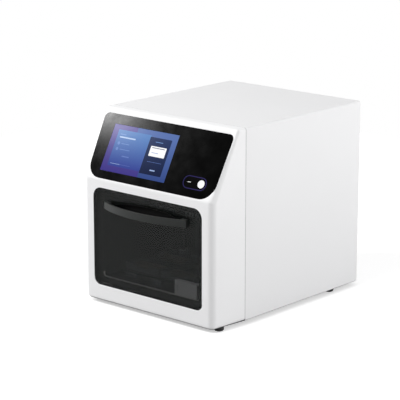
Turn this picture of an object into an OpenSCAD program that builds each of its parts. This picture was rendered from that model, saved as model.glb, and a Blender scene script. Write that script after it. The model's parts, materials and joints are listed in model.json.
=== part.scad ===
// Bench instrument that purifies nucleic acid with magnetic beads.
// A moulded front bezel with a slanted control panel and a smoked drop-down door
// meets a folded sheet-metal cover. Behind the door, a tray moves deep-well plates
// to and fro under a head of magnetic rods and a carrier for their sleeves.
// Inside the modules, y is the depth behind the front face and z the height over the underside.

/* [Housing] */
// Width of the body across the rear cover
body_w = 360; // [354:1:372]
// Depth of the body from the front face to the rear edge
body_d = 461; // [455:1:500]
// Height of the body over its underside
body_h = 391; // [384:1:404]
// Height of the rubber feet
foot_h = 8; // [7:0.5:12]
// Radius of the rubber feet
foot_r = 10; // [8:0.5:12]
// Distance of a foot's centre from the side of the body
foot_inset = 16; // [15:0.5:22]
// Thickness of the folded sheet of the cover, the rear panel and the base plate
sheet_t = 1.5; // [1.2:0.1:2]
// Gap at the seam between bezel and cover
seam_gap = 0.6; // [0.4:0.1:1]
// Bend radius of the cover's roof edges
bend_r = 5; // [4:0.5:8]

/* [Front bezel] */
// Depth of the bezel from the front face to the seam
bezel_d = 92; // [88:1:100]
// How far each side of the bezel draws in towards the front face
front_taper = 6; // [4:0.5:9]
// Height of the slanted face
slant_rise = 135; // [129:1:138]
// How far the slanted face leans back at the top
slant_back = 73; // [66:1:76]
// Wall of the moulded bezel
bezel_t = 3; // [2.5:0.25:4]
// Radius of the bezel's upright corners
corner_r = 14; // [10:1:18]
// Radius of the edge between slanted face and roof
brow_r = 6; // [5:0.5:8]
// Radius of the bezel's lower edge
hem_r = 5; // [3:0.5:7]

/* [Control panel] */
// Margin beside the black panel at its lower edge
panel_side = 6.5; // [5:0.5:11]
// Margin beside the black panel at its upper edge
panel_side_top = 5.75; // [5:0.25:11]
// Margin above the black panel, along the slant
panel_top = 12.5; // [10:0.5:20]
// Distance of the panel's lower edge from the kink, along the slant
panel_s = 3.5; // [3:0.5:6]
// Thickness of the panel
panel_t = 2.2; // [2:0.1:2.4]
// How far the panel stands out of the slanted face
panel_proud = 0.4; // [0.2:0.1:0.6]
// Radius of the panel's lower corners
panel_r_low = 34; // [20:1:40]
// Radius of the panel's upper corners
panel_r_top = 11; // [6:1:16]
// Height of the display's active area
screen_l = 99.5; // [90:0.5:102]
// Distance of the display from the panel's left edge
screen_side = 30.5; // [28:0.5:36]
// Distance between the display and the light ring
screen_ring = 46; // [40:1:56]
// How far the display sits under the panel's middle
screen_drop = 2; // [0:0.5:3]
// Thickness of the display module
screen_t = 7; // [5:0.5:10]
// Length of the light ring round the power control
ring_w = 60; // [50:1:64]
// Height of the light ring round the power control
ring_l = 27; // [24:0.5:30]
// Distance of the ring's centre from the panel's right edge
ring_side = 52.5; // [50:0.5:60]
// Distance of the ring's centre from the kink, along the slant
ring_s = 33; // [28:1:40]
// Width of the ring's stroke
ring_t = 2; // [1.5:0.25:3]
// Radius of the power button
button_r = 8; // [6:0.25:9]
// Travel of the power button
button_travel = 1; // [0.8:0.1:1.5]
// How far the power button stands out of the panel
button_proud = 1.4; // [1.3:0.1:2]

/* [Door] */
// Width of the bezel beside the door
door_side = 27.5; // [26:0.5:32]
// Distance of the door's upper edge from the slanted face
door_top = 17; // [14:0.5:21]
// Height of the door's lower edge over the underside
door_z = 35; // [32:1:37]
// Thickness of the door
door_t = 8; // [7:0.25:9]
// How far the door lies behind the front face
door_sink = 0.5; // [0.2:0.1:1]
// Gap round the door
door_gap = 0.8; // [0.6:0.1:1.2]
// Radius of the door's lower corners
door_r_low = 14; // [12:1:18]
// Radius of the door's upper corners
door_r_top = 20; // [12:1:26]
// Distance of the hinge axis from the door's front face and lower edge
hinge_inset = 2.4; // [2.2:0.1:3]
// Radius of the hinge pins
pin_r = 1.25; // [1:0.05:1.5]
// Length of the hinge pins
pin_l = 22; // [18:1:26]

/* [Handle] */
// Distance of the bowed handle's ends from the door's edges
handle_side = 35.5; // [32:0.5:50]
// Height of the handle's band
handle_h = 15; // [12:0.5:18]
// Thickness of the handle's band
handle_t = 4; // [3:0.25:5]
// How far the bow stands out of the front face in the middle
handle_reach = 29; // [25:1:34]
// How far the handle's ends stand out of the front face
handle_end = 6; // [5:0.5:8]
// Length of the pads that the handle's ends stand on
handle_pad = 14; // [10:1:18]
// Distance of the handle's middle line from the door's upper edge
handle_drop = 32.5; // [31:0.5:39]
// How far the finger recess ends short of the handle's ends
recess_side = 5; // [4:0.5:16]
// Height of the finger recess in its middle
recess_h = 26; // [20:1:30]
// Wall of the cup in the finger recess
cup_t = 1.5; // [1.2:0.1:2]

/* [Chamber] */
// Distance of the chamber's walls from the door's edges
chamber_side = 14.5; // [12.5:0.5:16.5]
// Height of the chamber's floor over the door's lower edge
floor_rise = 15; // [14:0.5:19]
// Distance of the mouth's upper edge from the door's upper edge
mouth_drop = 13; // [11:0.5:17]
// Height of the space over the chamber's roof
roof_drop = 91; // [85:1:93]
// Space behind the tray in its rear place
rear_gap = 27; // [25:1:33]
// Thickness of the chamber's sheet
liner_t = 1.5; // [1.2:0.1:2]
// Width of the door seal
seal_w = 3.5; // [3:0.25:4]

/* [Plate tray] */
// Gap between the two plate nests
nest_gap = 6; // [4:0.5:10]
// Length of the pocket for a deep-well plate
nest_l = 128.4; // [128:0.1:129]
// Width of the pocket for a deep-well plate
nest_w = 86; // [85.8:0.1:86.6]
// Wall of the plate nests
nest_t = 3; // [2.5:0.25:3.5]
// Height of the plate nests
nest_h = 14; // [12:0.5:16]
// Travel of the tray under the heads
tray_travel = 45; // [36:1:46]
// Depth of the tray's front edge with the tray at the front
tray_y = 32; // [31:0.5:33]
// Length of the tray plate in front of and behind the nests
tray_end = 5.8; // [3.8:0.1:6.8]
// Width of the tray plate beside the nests
tray_edge = 2; // [1:0.5:5]
// Thickness of the tray plate
tray_t = 5; // [4:0.5:6]
// Radius of a pocket in the heating blocks
well_r = 3.4; // [3:0.1:3.8]
// Height of the heating blocks
heater_h = 9; // [7:0.5:10]

/* [Lifting heads] */
// Distance of the guide rods from the chamber's walls
guide_side = 20; // [16:0.5:22]
// Distance of the guide rods and lead screws from the rear wall
guide_back = 16; // [14:0.5:17]
// Radius of the guide rods
guide_r = 5; // [4:0.5:6]
// Distance of the lead screws from the middle
screw_x = 40; // [34:1:46]
// Radius of the lead screws
screw_r = 4; // [3:0.5:5]
// Thickness of the head plates
head_t = 8; // [6:0.5:10]
// Distance of the magnetic head's underside from the chamber's roof
head_drop = 50; // [46:1:52]
// Radius of the magnetic rods
rod_r = 2.5; // [2:0.1:3]
// Length of the magnetic rods
rod_l = 68; // [67:0.5:69]
// Radius of the sleeve seats in the carrier
seat_r = 4; // [3.6:0.1:4.2]
// Gap between the heads' front edge and the lamp
lamp_gap = 6; // [5:0.5:9]

/* [Rear] */
// Size of the square fan
fan_w = 80; // [70:1:92]
// Depth of the fan's frame
fan_t = 25; // [22:1:30]
// How far the fan guard stands out of the body's rear edge
rear_reach = 5; // [4:0.5:8]

/* [Fits] */
// Radial clearance of a turning or sliding shaft
run_fit = 0.08; // [0.06:0.01:0.1]
// Clearance between faces that move past each other
slide_gap = 0.3; // [0.25:0.05:0.4]

/* [Hidden] */
$fn = 48;
eps = 0.01;

front_y = handle_reach - (handle_reach + body_d + rear_reach) / 2;
kink_h = body_h - slant_rise;
front_w = body_w - 2 * front_taper;
tilt = atan(slant_back / slant_rise);
slant_l = sqrt(slant_back * slant_back + slant_rise * slant_rise);
side_draft = front_taper / bezel_d;
corner_x = side_x(corner_r) - corner_r * sqrt(1 + side_draft * side_draft);
kink_drop = corner_r * tan(tilt / 2);
brow_y = (brow_r + sin(tilt) * (slant_rise - brow_r)) / cos(tilt);
brow_x = side_x(brow_y) - brow_r * sqrt(1 + side_draft * side_draft);
cover_y = bezel_d + seam_gap;
rear_face = body_d - sheet_t / 2;
foot_front_y = 32;
foot_rear_y = body_d - 76;

bezel_lip = 34;
cover_flange = 34;
panel_sink = panel_t - panel_proud;
panel_w_low = front_w - 2 * panel_side;
panel_w_top = 2 * (side_x(slant_back) - panel_side_top);
panel_l = slant_l - panel_s - panel_top;
ring_x = panel_w_low / 2 - ring_side;
screen_x = panel_w_low / 2 - screen_side;
screen_w = screen_x + ring_x - ring_w / 2 - screen_ring;
screen_s = panel_s + (panel_l - screen_l) / 2 - screen_drop;
door_w = front_w - 2 * door_side;
door_h = kink_h - door_top - door_z;
chamber_x = door_w / 2 - chamber_side;
floor_z = door_z + floor_rise;
mouth_z = door_z + door_h - mouth_drop;
roof_z = body_h - roof_drop;
jamb_t = 3;
jamb_d = door_sink + door_t + 3.3;
hinge_y = door_sink + hinge_inset;
hinge_z = door_z + hinge_inset;
pin_x = door_w / 2 - door_r_low - 6;
flange_y = jamb_d + slide_gap;
liner_y = flange_y + liner_t;
door_back = door_sink + door_t;
magnet_z = door_z + door_h - 4.5;
magnet_r = 3.5;
catch_x = 60;

ring_end_x = ring_x + ring_w / 2 - ring_l / 2;
ring_depth = 1;
handle_w = door_w - 2 * handle_side;
handle_z = door_z + door_h - handle_drop;
recess_w = handle_w - 2 * recess_side;
handle_rise = handle_reach - handle_end;
handle_bow_r = (handle_w * handle_w / 4 + handle_rise * handle_rise) / (2 * handle_rise);
recess_r = (recess_w * recess_w / 4 + recess_h * recess_h / 4) / recess_h;

nest_x = nest_w / 2 + nest_t + nest_gap / 2;
tray_x = nest_x + nest_w / 2 + nest_t + tray_edge;
tray_l = nest_l + 2 * nest_t + 2 * tray_end;
rear_y = tray_y + tray_l + tray_travel + rear_gap;
rail_x = 78;
rail_w = 12;
rail_h = 8;
rail_y = liner_y + 15;
carriage_w = 27;
carriage_l = 34;
tray_z = floor_z + 13;
tray_top = tray_z + tray_t;
tray_cy = tray_y + tray_l / 2;
tray_screw_z = floor_z + 6;

// standard distance between the wells of a plate, and the columns that a nest takes
pitch = 9;
columns = floor((nest_w - 15) / pitch) + 1;
head_cy = tray_cy + tray_travel / 2;
row_dy = 3 * pitch;
guide_x = chamber_x - guide_side;
guide_y = rear_y - guide_back;
clamp_r = guide_r + 5;
rail_l = guide_y - clamp_r - 0.5 - rail_y;
magnet_z0 = roof_z - head_drop;
sleeve_z = magnet_z0 - rod_l - head_t / 2;
head_front = head_cy - row_dy - 12.5;
lamp_r = 8;
lamp_y = head_front - lamp_gap - lamp_r;
lamp_z = roof_z - 42;
roof_y = lamp_y + 16;
head_back = guide_y + 13;
head_x = guide_x + 14;
bush_r = 9.5;
bush_l = 29;
bush_flange_r = 13;
motor_w = 42;
motor_l = 38;
coupling_r = 9.5;
coupling_l = 20;

fan_x = 85 - body_w / 2;
fan_z = body_h - 95;
interlock_w = 59;
interlock_x = chamber_x - 11 - interlock_w;
inlet_x = body_w / 2 - 62;
inlet_z = 58;
switch_x = inlet_x - 40;
rocker_tilt = 7;
port_x = inlet_x;
port_z = 128;
guard_y = body_d + rear_reach;
filter_w = 98;
filter_h = 80;
filter_x = 8 - chamber_x;
filter_z = roof_z - 14 - filter_h;
supply_w = 100;
supply_h = 50;
supply_x = cover_flange + 3 - body_w / 2;
supply_y = rear_y + 28;
supply_l = body_d - 25 - supply_y;
board_z = 12;
board_x = supply_x + supply_w + 3;
board_w = body_w / 2 - 30 - board_x;
board_y = rear_y + 52;
board_l = body_d - 39 - board_y;
standoff_r = 3;

white = [0.93, 0.93, 0.93];
cover_white = [0.9, 0.9, 0.9];
dark = [0.12, 0.12, 0.13];
smoke = [0.16, 0.17, 0.165, 0.9];
steel = [0.72, 0.73, 0.75];
alloy = [0.8, 0.81, 0.83];

// Half of the bezel's width at a depth
function side_x(y) = front_w / 2 + side_draft * y;
// Points of an arc from one angle to another
function arc(cx, cy, r, a0, a1, n = 8) =
  [for (i = [0 : n]) let (a = a0 + (a1 - a0) * i / n) [cx + r * cos(a), cy + r * sin(a)]];
// Upright outline with two lower and two upper radii, from its lower edge up
function outline(low, top, h, r_low, r_top) =
  let (
    d = atan((top - low) / h),
    x_low = low - r_low * (1 - sin(d)) / cos(d),
    x_top = low + ((h - r_top) * sin(d) - r_top) / cos(d),
    right = concat(arc(x_low, r_low, r_low, -90, -d), arc(x_top, h - r_top, r_top, -d, 90))
  )
  concat(right, [for (i = [len(right) - 1 : -1 : 0]) [-right[i][0], right[i][1]]]);

// From depth and height in the body to the part's own frame
module in_body() {
  translate([0, front_y, foot_h]) children();
}

// Frame on the slanted face: x, distance up the slant, height out of the face
module on_slant() {
  translate([0, 0, kink_h]) rotate([90 - tilt, 0, 0]) children();
}

// Plate in the x-z plane between two depths
module upright(y0, y1) {
  translate([0, y1, 0]) rotate([90, 0, 0]) linear_extrude(y1 - y0) children();
}

// Prism along x from a side profile of depth and height
module across(x0, x1) {
  translate([x0, 0, 0]) rotate([90, 0, 90]) linear_extrude(x1 - x0) children();
}

module box(x, y, z) {
  translate([x[0], y[0], z[0]]) cube([x[1] - x[0], y[1] - y[0], z[1] - z[0]]);
}

module each_side() {
  children();
  mirror([1, 0, 0]) children();
}

module slot_2d(w, h) {
  square([w - h, h], center = true);
  for (s = [-1, 1]) translate([s * (w - h) / 2, 0]) circle(h / 2);
}

// The bezel's rounded wedge, with its faces moved in by g
module bezel_form(g, z0, y1, hem) {
  r = corner_r - g;
  hull() {
    for (m = [-1, 1]) {
      for (t = [0 : 30 : 90]) {
        s = hem * (1 - sin(t));
        z = z0 + hem * (1 - cos(t));
        translate([m * corner_x, corner_r, z]) cylinder(r = r - s, h = 0.1, $fn = 32);
        translate([m * (side_x(y1) - g - s - 0.5), y1 - 0.5, z + 0.05]) cube([1, 1, 0.1], center = true);
      }
      translate([m * corner_x, corner_r, kink_h - kink_drop]) sphere(r, $fn = 32);
      translate([m * brow_x, brow_y, body_h - brow_r]) sphere(brow_r - g, $fn = 24);
      translate([m * (side_x(y1) - bend_r), y1, body_h - bend_r])
        rotate([90, 0, 0]) cylinder(r = bend_r - g, h = 1, $fn = 24);
    }
  }
}

module door_outline(g = 0) {
  translate([0, door_z - g])
    polygon(outline(door_w / 2 + g, door_w / 2 + g, door_h + 2 * g, door_r_low + g, door_r_top + g));
}

module panel_outline(g = 0) {
  translate([0, panel_s - g])
    polygon(outline(panel_w_low / 2 + g, panel_w_top / 2 + g, panel_l + 2 * g,
      panel_r_low + g, panel_r_top + g));
}

module screen_square(gx = 0, gs = 0) {
  translate([-screen_x - gx, screen_s - gs]) square([screen_w + 2 * gx, screen_l + 2 * gs]);
}

module front_bezel() {
  color(white) in_body() difference() {
    union() {
      difference() {
        bezel_form(0, sheet_t, bezel_d, hem_r);
        bezel_form(bezel_t, sheet_t + bezel_t, bezel_d + 1, 0);
        box([-body_w / 2 + bezel_lip, body_w / 2 - bezel_lip], [bezel_lip, bezel_d + 1],
          [0, sheet_t + bezel_t + 1]);
      }
      // return wall round the door
      intersection() {
        upright(0.5, jamb_d) door_outline(door_gap + jamb_t);
        bezel_form(0, sheet_t, bezel_d, hem_r);
      }
      // bosses for the hinge pins
      each_side() box([door_w / 2 - 6, door_w / 2 + 9], [1, jamb_d], [door_z - 6, hinge_z + 6]);
      // tongue that registers the cover at the seam
      difference() {
        box([-body_w / 2 + bezel_t, body_w / 2 - bezel_t], [bezel_d - 8, bezel_d + 8],
          [body_h - bezel_t - 2, body_h - bezel_t]);
        box([-60, 60], [bezel_d - 9, bezel_d + 9], [body_h - bezel_t - 3, body_h]);
      }
      each_side() box([body_w / 2 - bezel_t - 2, body_w / 2 - bezel_t], [bezel_d - 8, bezel_d + 8],
        [door_z + 5, body_h - 31]);
      // posts behind the panel that carry the display frame
      on_slant() for (x = [-screen_x - 14, -screen_x + screen_w + 14])
        for (s = [screen_s + 10, screen_s + screen_l - 10])
          translate([x, s, -screen_t]) cylinder(r = 4, h = screen_t - panel_sink);
    }
    upright(-1, jamb_d + 1) door_outline(door_gap);
    each_side() translate([door_w / 2 - 12, hinge_y, hinge_z])
      rotate([0, 90, 0]) cylinder(r = pin_r + run_fit, h = 18);
    // recess and windows for the control panel
    on_slant() {
      translate([0, 0, -panel_sink]) linear_extrude(panel_t + 5) panel_outline(0.2);
      translate([0, 0, -bezel_t - 1]) linear_extrude(bezel_t + 2) screen_square(2, 2);
      translate([ring_x, ring_s, -bezel_t - 1]) linear_extrude(bezel_t + 2) slot_2d(ring_w + 4, ring_l + 4);
    }
  }
}

module cover_section(g) {
  w = body_w / 2 - g;
  translate([-w, sheet_t + g]) square([2 * w, body_h - sheet_t - 2 * g - bend_r + g]);
  translate([-w + bend_r - g, sheet_t + g]) square([2 * (w - bend_r + g), body_h - sheet_t - 2 * g]);
  for (m = [-1, 1]) translate([m * (body_w / 2 - bend_r), body_h - bend_r]) circle(bend_r - g);
}

module rear_cover() {
  rear_flange = 14;
  color(cover_white) in_body() difference() {
    upright(cover_y, body_d) cover_section(0);
    upright(cover_y - 1, body_d - 2.5 * sheet_t) cover_section(sheet_t);
    upright(body_d - 4 * sheet_t, body_d - 1.5 * sheet_t + eps)
      translate([-body_w / 2 + rear_flange, rear_flange])
        square([body_w - 2 * rear_flange, body_h - 2 * rear_flange]);
    upright(body_d - 1.5 * sheet_t, body_d + 1) cover_section(sheet_t);
    box([-body_w / 2 + cover_flange, body_w / 2 - cover_flange], [cover_y - 1, body_d - 2.5 * sheet_t],
        [0, 2 * sheet_t + 0.5]);
    panel_screw_places() translate([0, body_d, 0]) rotate([90, 0, 0]) cylinder(r = 1.6, h = 8);
  }
}

module base_plate() {
  inset = 2;
  color(dark) in_body() difference() {
    hull() {
      each_side() translate([corner_x, corner_r, 0]) cylinder(r = corner_r - hem_r, h = sheet_t, $fn = 32);
      box([-body_w / 2 + inset, body_w / 2 - inset], [bezel_d, body_d - inset], [0, sheet_t]);
    }
    for (y = [bezel_d + 200 : 12 : bezel_d + 272]) box([-25, 25], [y, y + 4], [-1, sheet_t + 1]);
  }
}

module foot_places() {
  for (m = [-1, 1], y = [foot_front_y, foot_rear_y])
    translate([m * (body_w / 2 - foot_inset), y, 0]) children();
}

module feet() {
  color([0.1, 0.1, 0.1]) in_body() foot_places() mirror([0, 0, 1]) difference() {
    rotate_extrude() polygon([
      [0, 0], [foot_r - 1, 0], [foot_r, 1], [foot_r, foot_h - 2], [foot_r - 2, foot_h], [0, foot_h]
    ]);
    translate([0, 0, foot_h - 4]) cylinder(r = foot_r * 0.45, h = 5);
  }
}

// Places of the screws that hold the rear panel on the cover's flange
module panel_screw_places() {
  for (m = [-1, 1]) {
    for (z = [30, body_h / 2, body_h - 30]) translate([m * (body_w / 2 - 8), 0, z]) children();
    for (z = [8, body_h - 8]) translate([m * 90, 0, z]) children();
  }
}

module fan_screw_places() {
  reach = fan_w / 2 - 5;
  for (x = [-1, 1], z = [-1, 1]) translate([fan_x + x * reach, 0, fan_z + z * reach]) children();
}

module rear_panel() {
  color(cover_white) in_body() difference() {
    upright(body_d - 1.5 * sheet_t, rear_face) rear_outline();
    upright(body_d - 10, body_d + 1) {
      translate([fan_x, fan_z]) circle(fan_w / 2 - 4, $fn = 96);
      translate([inlet_x, inlet_z]) square([27.6, 19.6], center = true);
      translate([switch_x, inlet_z]) square([13.4, 19.6], center = true);
      for (i = [0, 1]) translate([port_x - 22 * i, port_z]) square([14, 7], center = true);
      translate([port_x - 48, port_z + 3]) square([16.4, 13.8], center = true);
      for (x = [40 : 10 : body_w / 2 - 30], z = [body_h - 130, body_h - 80])
        translate([x, z]) rotate(90) slot_2d(36, 3.6);
    }
    panel_screw_places() translate([0, body_d + 1, 0]) rotate([90, 0, 0]) cylinder(r = 1.6, h = 8);
    fan_screw_places() translate([0, body_d + 1, 0]) rotate([90, 0, 0]) cylinder(r = 1.6, h = 8);
  }
}

module rear_outline() {
  g = sheet_t + 0.4;
  translate([-body_w / 2 + g, sheet_t + g]) square([body_w - 2 * g, body_h - sheet_t - 2 * g - bend_r]);
  translate([-body_w / 2 + g + bend_r, sheet_t + g])
    square([body_w - 2 * g - 2 * bend_r, body_h - sheet_t - 2 * g]);
}

module case_screw(l) {
  rotate([-90, 0, 0]) {
    cylinder(r = 3, h = 1.2);
    translate([0, 0, 1.2]) cylinder(r1 = 3, r2 = 2, h = 0.8);
    translate([0, 0, -l]) cylinder(r = 1.5, h = l);
  }
}

module case_screws() {
  color(steel) in_body() {
    panel_screw_places() translate([0, rear_face, 0]) case_screw(5);
    fan_screw_places() translate([0, guard_y - 2, 0]) case_screw(12);
  }
}

module control_panel() {
  color([0.02, 0.02, 0.02]) in_body() on_slant() difference() {
    translate([0, 0, -panel_sink]) linear_extrude(panel_t) panel_outline();
    translate([0, 0, -panel_t]) linear_extrude(panel_t + 2) screen_square(0.1, 0.1);
    translate([ring_x, ring_s, panel_proud - ring_depth]) linear_extrude(panel_t) difference() {
      slot_2d(ring_w, ring_l);
      slot_2d(ring_w - 2 * ring_t, ring_l - 2 * ring_t);
    }
    translate([ring_end_x, ring_s, -panel_t]) cylinder(r = button_r + slide_gap, h = panel_t + 3);
  }
}

module display() {
  color([0.25, 0.3, 0.75]) in_body() on_slant()
    translate([0, 0, -screen_t]) linear_extrude(screen_t + panel_proud - 0.1) screen_square();
}

module display_frame() {
  rim = 7.5;
  color(steel) in_body() on_slant() difference() {
    translate([0, 0, -screen_t - rim]) linear_extrude(rim) screen_square(20, 12);
    translate([0, 0, -screen_t - rim - 1])
      linear_extrude(rim - sheet_t + 1) screen_square(20 - sheet_t, 12 - sheet_t);
    for (x = [30 : 29 : screen_w - 30], s = [screen_s + 25, screen_s + screen_l - 25])
      translate([x - screen_x, s, -screen_t - 3]) cylinder(r = 6, h = 4);
  }
}

module button_ring() {
  color([0.35, 0.3, 0.75]) in_body() on_slant() translate([ring_x, ring_s, panel_proud - ring_depth])
    linear_extrude(ring_depth + 0.3) difference() {
      slot_2d(ring_w - 0.1, ring_l - 0.1);
      slot_2d(ring_w - 2 * ring_t + 0.1, ring_l - 2 * ring_t + 0.1);
    }
}

module power_button() {
  color([0.95, 0.95, 0.97]) in_body() on_slant() translate([ring_end_x, ring_s, 0]) {
    translate([0, 0, -2]) cylinder(r = button_r, h = 2 + button_proud - 0.5);
    translate([0, 0, button_proud - 0.5]) cylinder(r1 = button_r, r2 = button_r - 0.5, h = 0.5);
    translate([0, 0, -6]) cylinder(r = button_r - 3, h = 4 + eps);
  }
}

module button_switch() {
  color([0.1, 0.35, 0.2]) in_body() on_slant() translate([ring_x, ring_s, 0]) {
    translate([-ring_w / 2, -ring_l / 2, -13]) cube([ring_w, ring_l, 1.6]);
    translate([ring_end_x - ring_x - 4, -4, -11.4]) cube([8, 8, 5.4 - button_travel - 0.2]);
    for (m = [-1, 1]) translate([m * (ring_w / 2 - 3), 0, -11.4]) cylinder(r = 2, h = 11.4 - panel_sink);
  }
}

module door_profile() {
  polygon(concat(
    [[door_back, door_z], [door_back, door_z + door_h], [door_sink, door_z + door_h]],
    arc(hinge_y, hinge_z, hinge_inset, 180, 270, 6)
  ));
}

module recess_lens(g) {
  translate([0, handle_z]) intersection_for(m = [-1, 1])
    translate([0, m * (recess_r - recess_h / 2)]) circle(recess_r - g, $fn = 360);
}

module door_panel() {
  trim_z = hinge_z + hinge_y + 1;
  trim_x = door_w / 2 - door_r_low + 2.8;
  color(smoke) in_body() difference() {
    intersection() {
      upright(-1, door_back + 1) door_outline();
      across(-door_w / 2 - 1, door_w / 2 + 1) door_profile();
    }
    // the lower corners are relieved so that they swing past the bezel
    each_side() translate([0, 0, door_z - 1]) linear_extrude(trim_z - door_z + 1)
      polygon([[trim_x, -0.5], [trim_x + 14, -0.5], [trim_x + 14, 13.5]]);
    each_side() hinge_pin();
    upright(-1, door_back + 1) recess_lens(0);
    each_side() translate([catch_x, door_back + eps, magnet_z])
      rotate([90, 0, 0]) cylinder(r = magnet_r, h = 1 + eps);
  }
}

module handle_plan() {
  translate([0, handle_bow_r - handle_reach]) children();
}

module door_handle() {
  inner_w = handle_w - 2 * handle_pad;
  color([0.29, 0.3, 0.295]) in_body() translate([0, 0, handle_z - handle_h / 2])
    linear_extrude(handle_h) difference() {
      intersection() {
        handle_plan() circle(handle_bow_r, $fn = 256);
        translate([-handle_w / 2, -handle_reach - 1]) square([handle_w, handle_reach + 1 + door_sink]);
      }
      intersection() {
        handle_plan() circle(handle_bow_r - handle_t, $fn = 256);
        translate([-inner_w / 2, -handle_reach]) square([inner_w, handle_reach + 2]);
      }
    }
}

module handle_cup() {
  color([0.03, 0.03, 0.03]) in_body() difference() {
    upright(door_sink, door_back) recess_lens(0.1);
    upright(door_sink - 1, door_back - cup_t) recess_lens(cup_t);
  }
}

module hinge_pin() {
  translate([pin_x, hinge_y, hinge_z]) rotate([0, 90, 0]) cylinder(r = pin_r, h = pin_l);
}

module hinge_pins() {
  color(steel) in_body() each_side() hinge_pin();
}

module strike_plates() {
  color(steel) in_body() each_side()
    translate([catch_x, door_back, magnet_z]) rotate([90, 0, 0]) cylinder(r = magnet_r, h = 1);
}

module catch_magnets() {
  color(steel) in_body() each_side()
    translate([catch_x, flange_y, magnet_z])
      rotate([90, 0, 0]) cylinder(r = magnet_r, h = flange_y - door_back - 0.4);
}

module mouth_outline(g) {
  translate([0, floor_z - g])
    polygon(outline(chamber_x + g, chamber_x + g, mouth_z - floor_z + 2 * g, 6 + g, 6 + g));
}

module door_seal() {
  color([0.08, 0.08, 0.08]) in_body() upright(door_back + 0.6, flange_y) difference() {
    mouth_outline(0.5 + seal_w);
    mouth_outline(0.5);
  }
}

// Side profile of the chamber, moved out by g, from a front depth
module chamber_profile(g, front) {
  polygon([
    [front, floor_z - g], [front, mouth_z + g], [liner_y + 14, mouth_z + g],
    [roof_y - 0.6 * g, roof_z], [rear_y + g, roof_z], [rear_y + g, floor_z - g]
  ]);
}

module chamber_liner() {
  foot = 12;
  color(alloy) in_body() difference() {
    union() {
      difference() {
        across(-chamber_x - liner_t, chamber_x + liner_t) chamber_profile(liner_t, liner_y);
        across(-chamber_x, chamber_x) chamber_profile(0, liner_y - 1);
        box([-chamber_x, chamber_x], [roof_y, rear_y], [roof_z - 1, roof_z + 1]);
        box([-chamber_x, chamber_x], [liner_y - 1, rear_y], [floor_z - liner_t - 1, floor_z + 1]);
      }
      // side walls run down to the base plate and stand on folded feet
      each_side() {
        box([chamber_x, chamber_x + liner_t], [bezel_lip + 1, rear_y + liner_t], [sheet_t, floor_z]);
        box([chamber_x - foot, chamber_x + liner_t], [bezel_lip + 1, rear_y + liner_t],
          [sheet_t, 2 * sheet_t]);
      }
      box([-chamber_x, chamber_x], [rear_y, rear_y + liner_t], [sheet_t, floor_z]);
      // folded rim under the roof plate
      each_side() box([chamber_x - 8, chamber_x + liner_t], [roof_y + 2, rear_y + liner_t],
        [roof_z - liner_t, roof_z]);
    }
    translate([0, rear_y - 1, tray_screw_z]) rotate([-90, 0, 0]) cylinder(r = 11.2, h = liner_t + 2);
    for (x = [22 : 10 : 92]) translate([x - chamber_x, 0, roof_z - 54])
      upright(rear_y - 1, rear_y + liner_t + 1) rotate(90) slot_2d(60, 4);
  }
}

module chamber_mouth() {
  color(alloy) in_body() upright(flange_y, liner_y) difference() {
    translate([0, door_z + 1]) polygon(outline(chamber_x + 18, chamber_x + 18, door_h + 6, 6, 6));
    mouth_outline(0);
  }
}

module chamber_floor() {
  color(alloy) in_body() box([-chamber_x, chamber_x], [liner_y, rear_y], [floor_z - liner_t, floor_z]);
}

module roof_plate() {
  color(alloy) in_body() difference() {
    box([-chamber_x - liner_t, chamber_x + liner_t], [roof_y, rear_y + liner_t], [roof_z, roof_z + 5]);
    for (m = [-1, 1]) {
      translate([m * screw_x, guide_y, roof_z - 1]) cylinder(r = 11.2, h = 7);
      translate([m * guide_x, guide_y, roof_z - 1]) cylinder(r = guide_r, h = 7);
    }
  }
}

module interlock_box() {
  color([0.6, 0.61, 0.62]) in_body() difference() {
    translate([interlock_x, liner_y + 1, floor_z]) cube([interlock_w, 12, 29]);
    translate([interlock_x + 6, liner_y, floor_z + 10]) cube([6, 5, 10]);
  }
}

module uv_lamp() {
  color([0.85, 0.87, 0.95]) in_body() translate([-chamber_x + 24, lamp_y, lamp_z])
    rotate([0, 90, 0]) cylinder(r = lamp_r, h = 2 * (chamber_x - 24));
}

module uv_sockets() {
  color(white) in_body() each_side() difference() {
    union() {
      box([chamber_x - 34, chamber_x], [lamp_y - 11, lamp_y + 11], [lamp_z - 11, lamp_z + 4]);
      translate([chamber_x - 34, lamp_y, lamp_z]) rotate([0, 90, 0]) cylinder(r = 10, h = 34);
    }
    translate([chamber_x - 35, lamp_y, lamp_z]) rotate([0, 90, 0]) cylinder(r = lamp_r, h = 11);
  }
}

module tray_rails() {
  color(steel) in_body() each_side() difference() {
    box([rail_x - rail_w / 2, rail_x + rail_w / 2], [rail_y, rail_y + rail_l], [floor_z, floor_z + rail_h]);
    for (y = [rail_y + 15 : 40 : rail_y + rail_l - 10])
      translate([rail_x, y, floor_z + 4]) cylinder(r = 3, h = 5);
  }
}

module rail_carriages() {
  slot_w = rail_w + 2 * slide_gap;
  color([0.45, 0.47, 0.5]) in_body() each_side()
    for (y = [tray_y + 6, tray_y + tray_l - carriage_l - 6]) translate([rail_x, y, floor_z]) difference() {
      translate([-carriage_w / 2, 0, 2]) cube([carriage_w, carriage_l, tray_z - floor_z - 2]);
      translate([-slot_w / 2, -1, 1]) cube([slot_w, carriage_l + 2, rail_h + slide_gap - 1]);
    }
}

module plate_tray() {
  color(alloy) in_body() difference() {
    box([-tray_x, tray_x], [tray_y, tray_y + tray_l], [tray_z, tray_top]);
    for (m = [-1, 1]) for (k = [-1, 1]) translate([m * nest_x, tray_cy + k * 16, tray_z - 1])
      cylinder(r = 9, h = tray_t + 2);
  }
}

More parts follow.
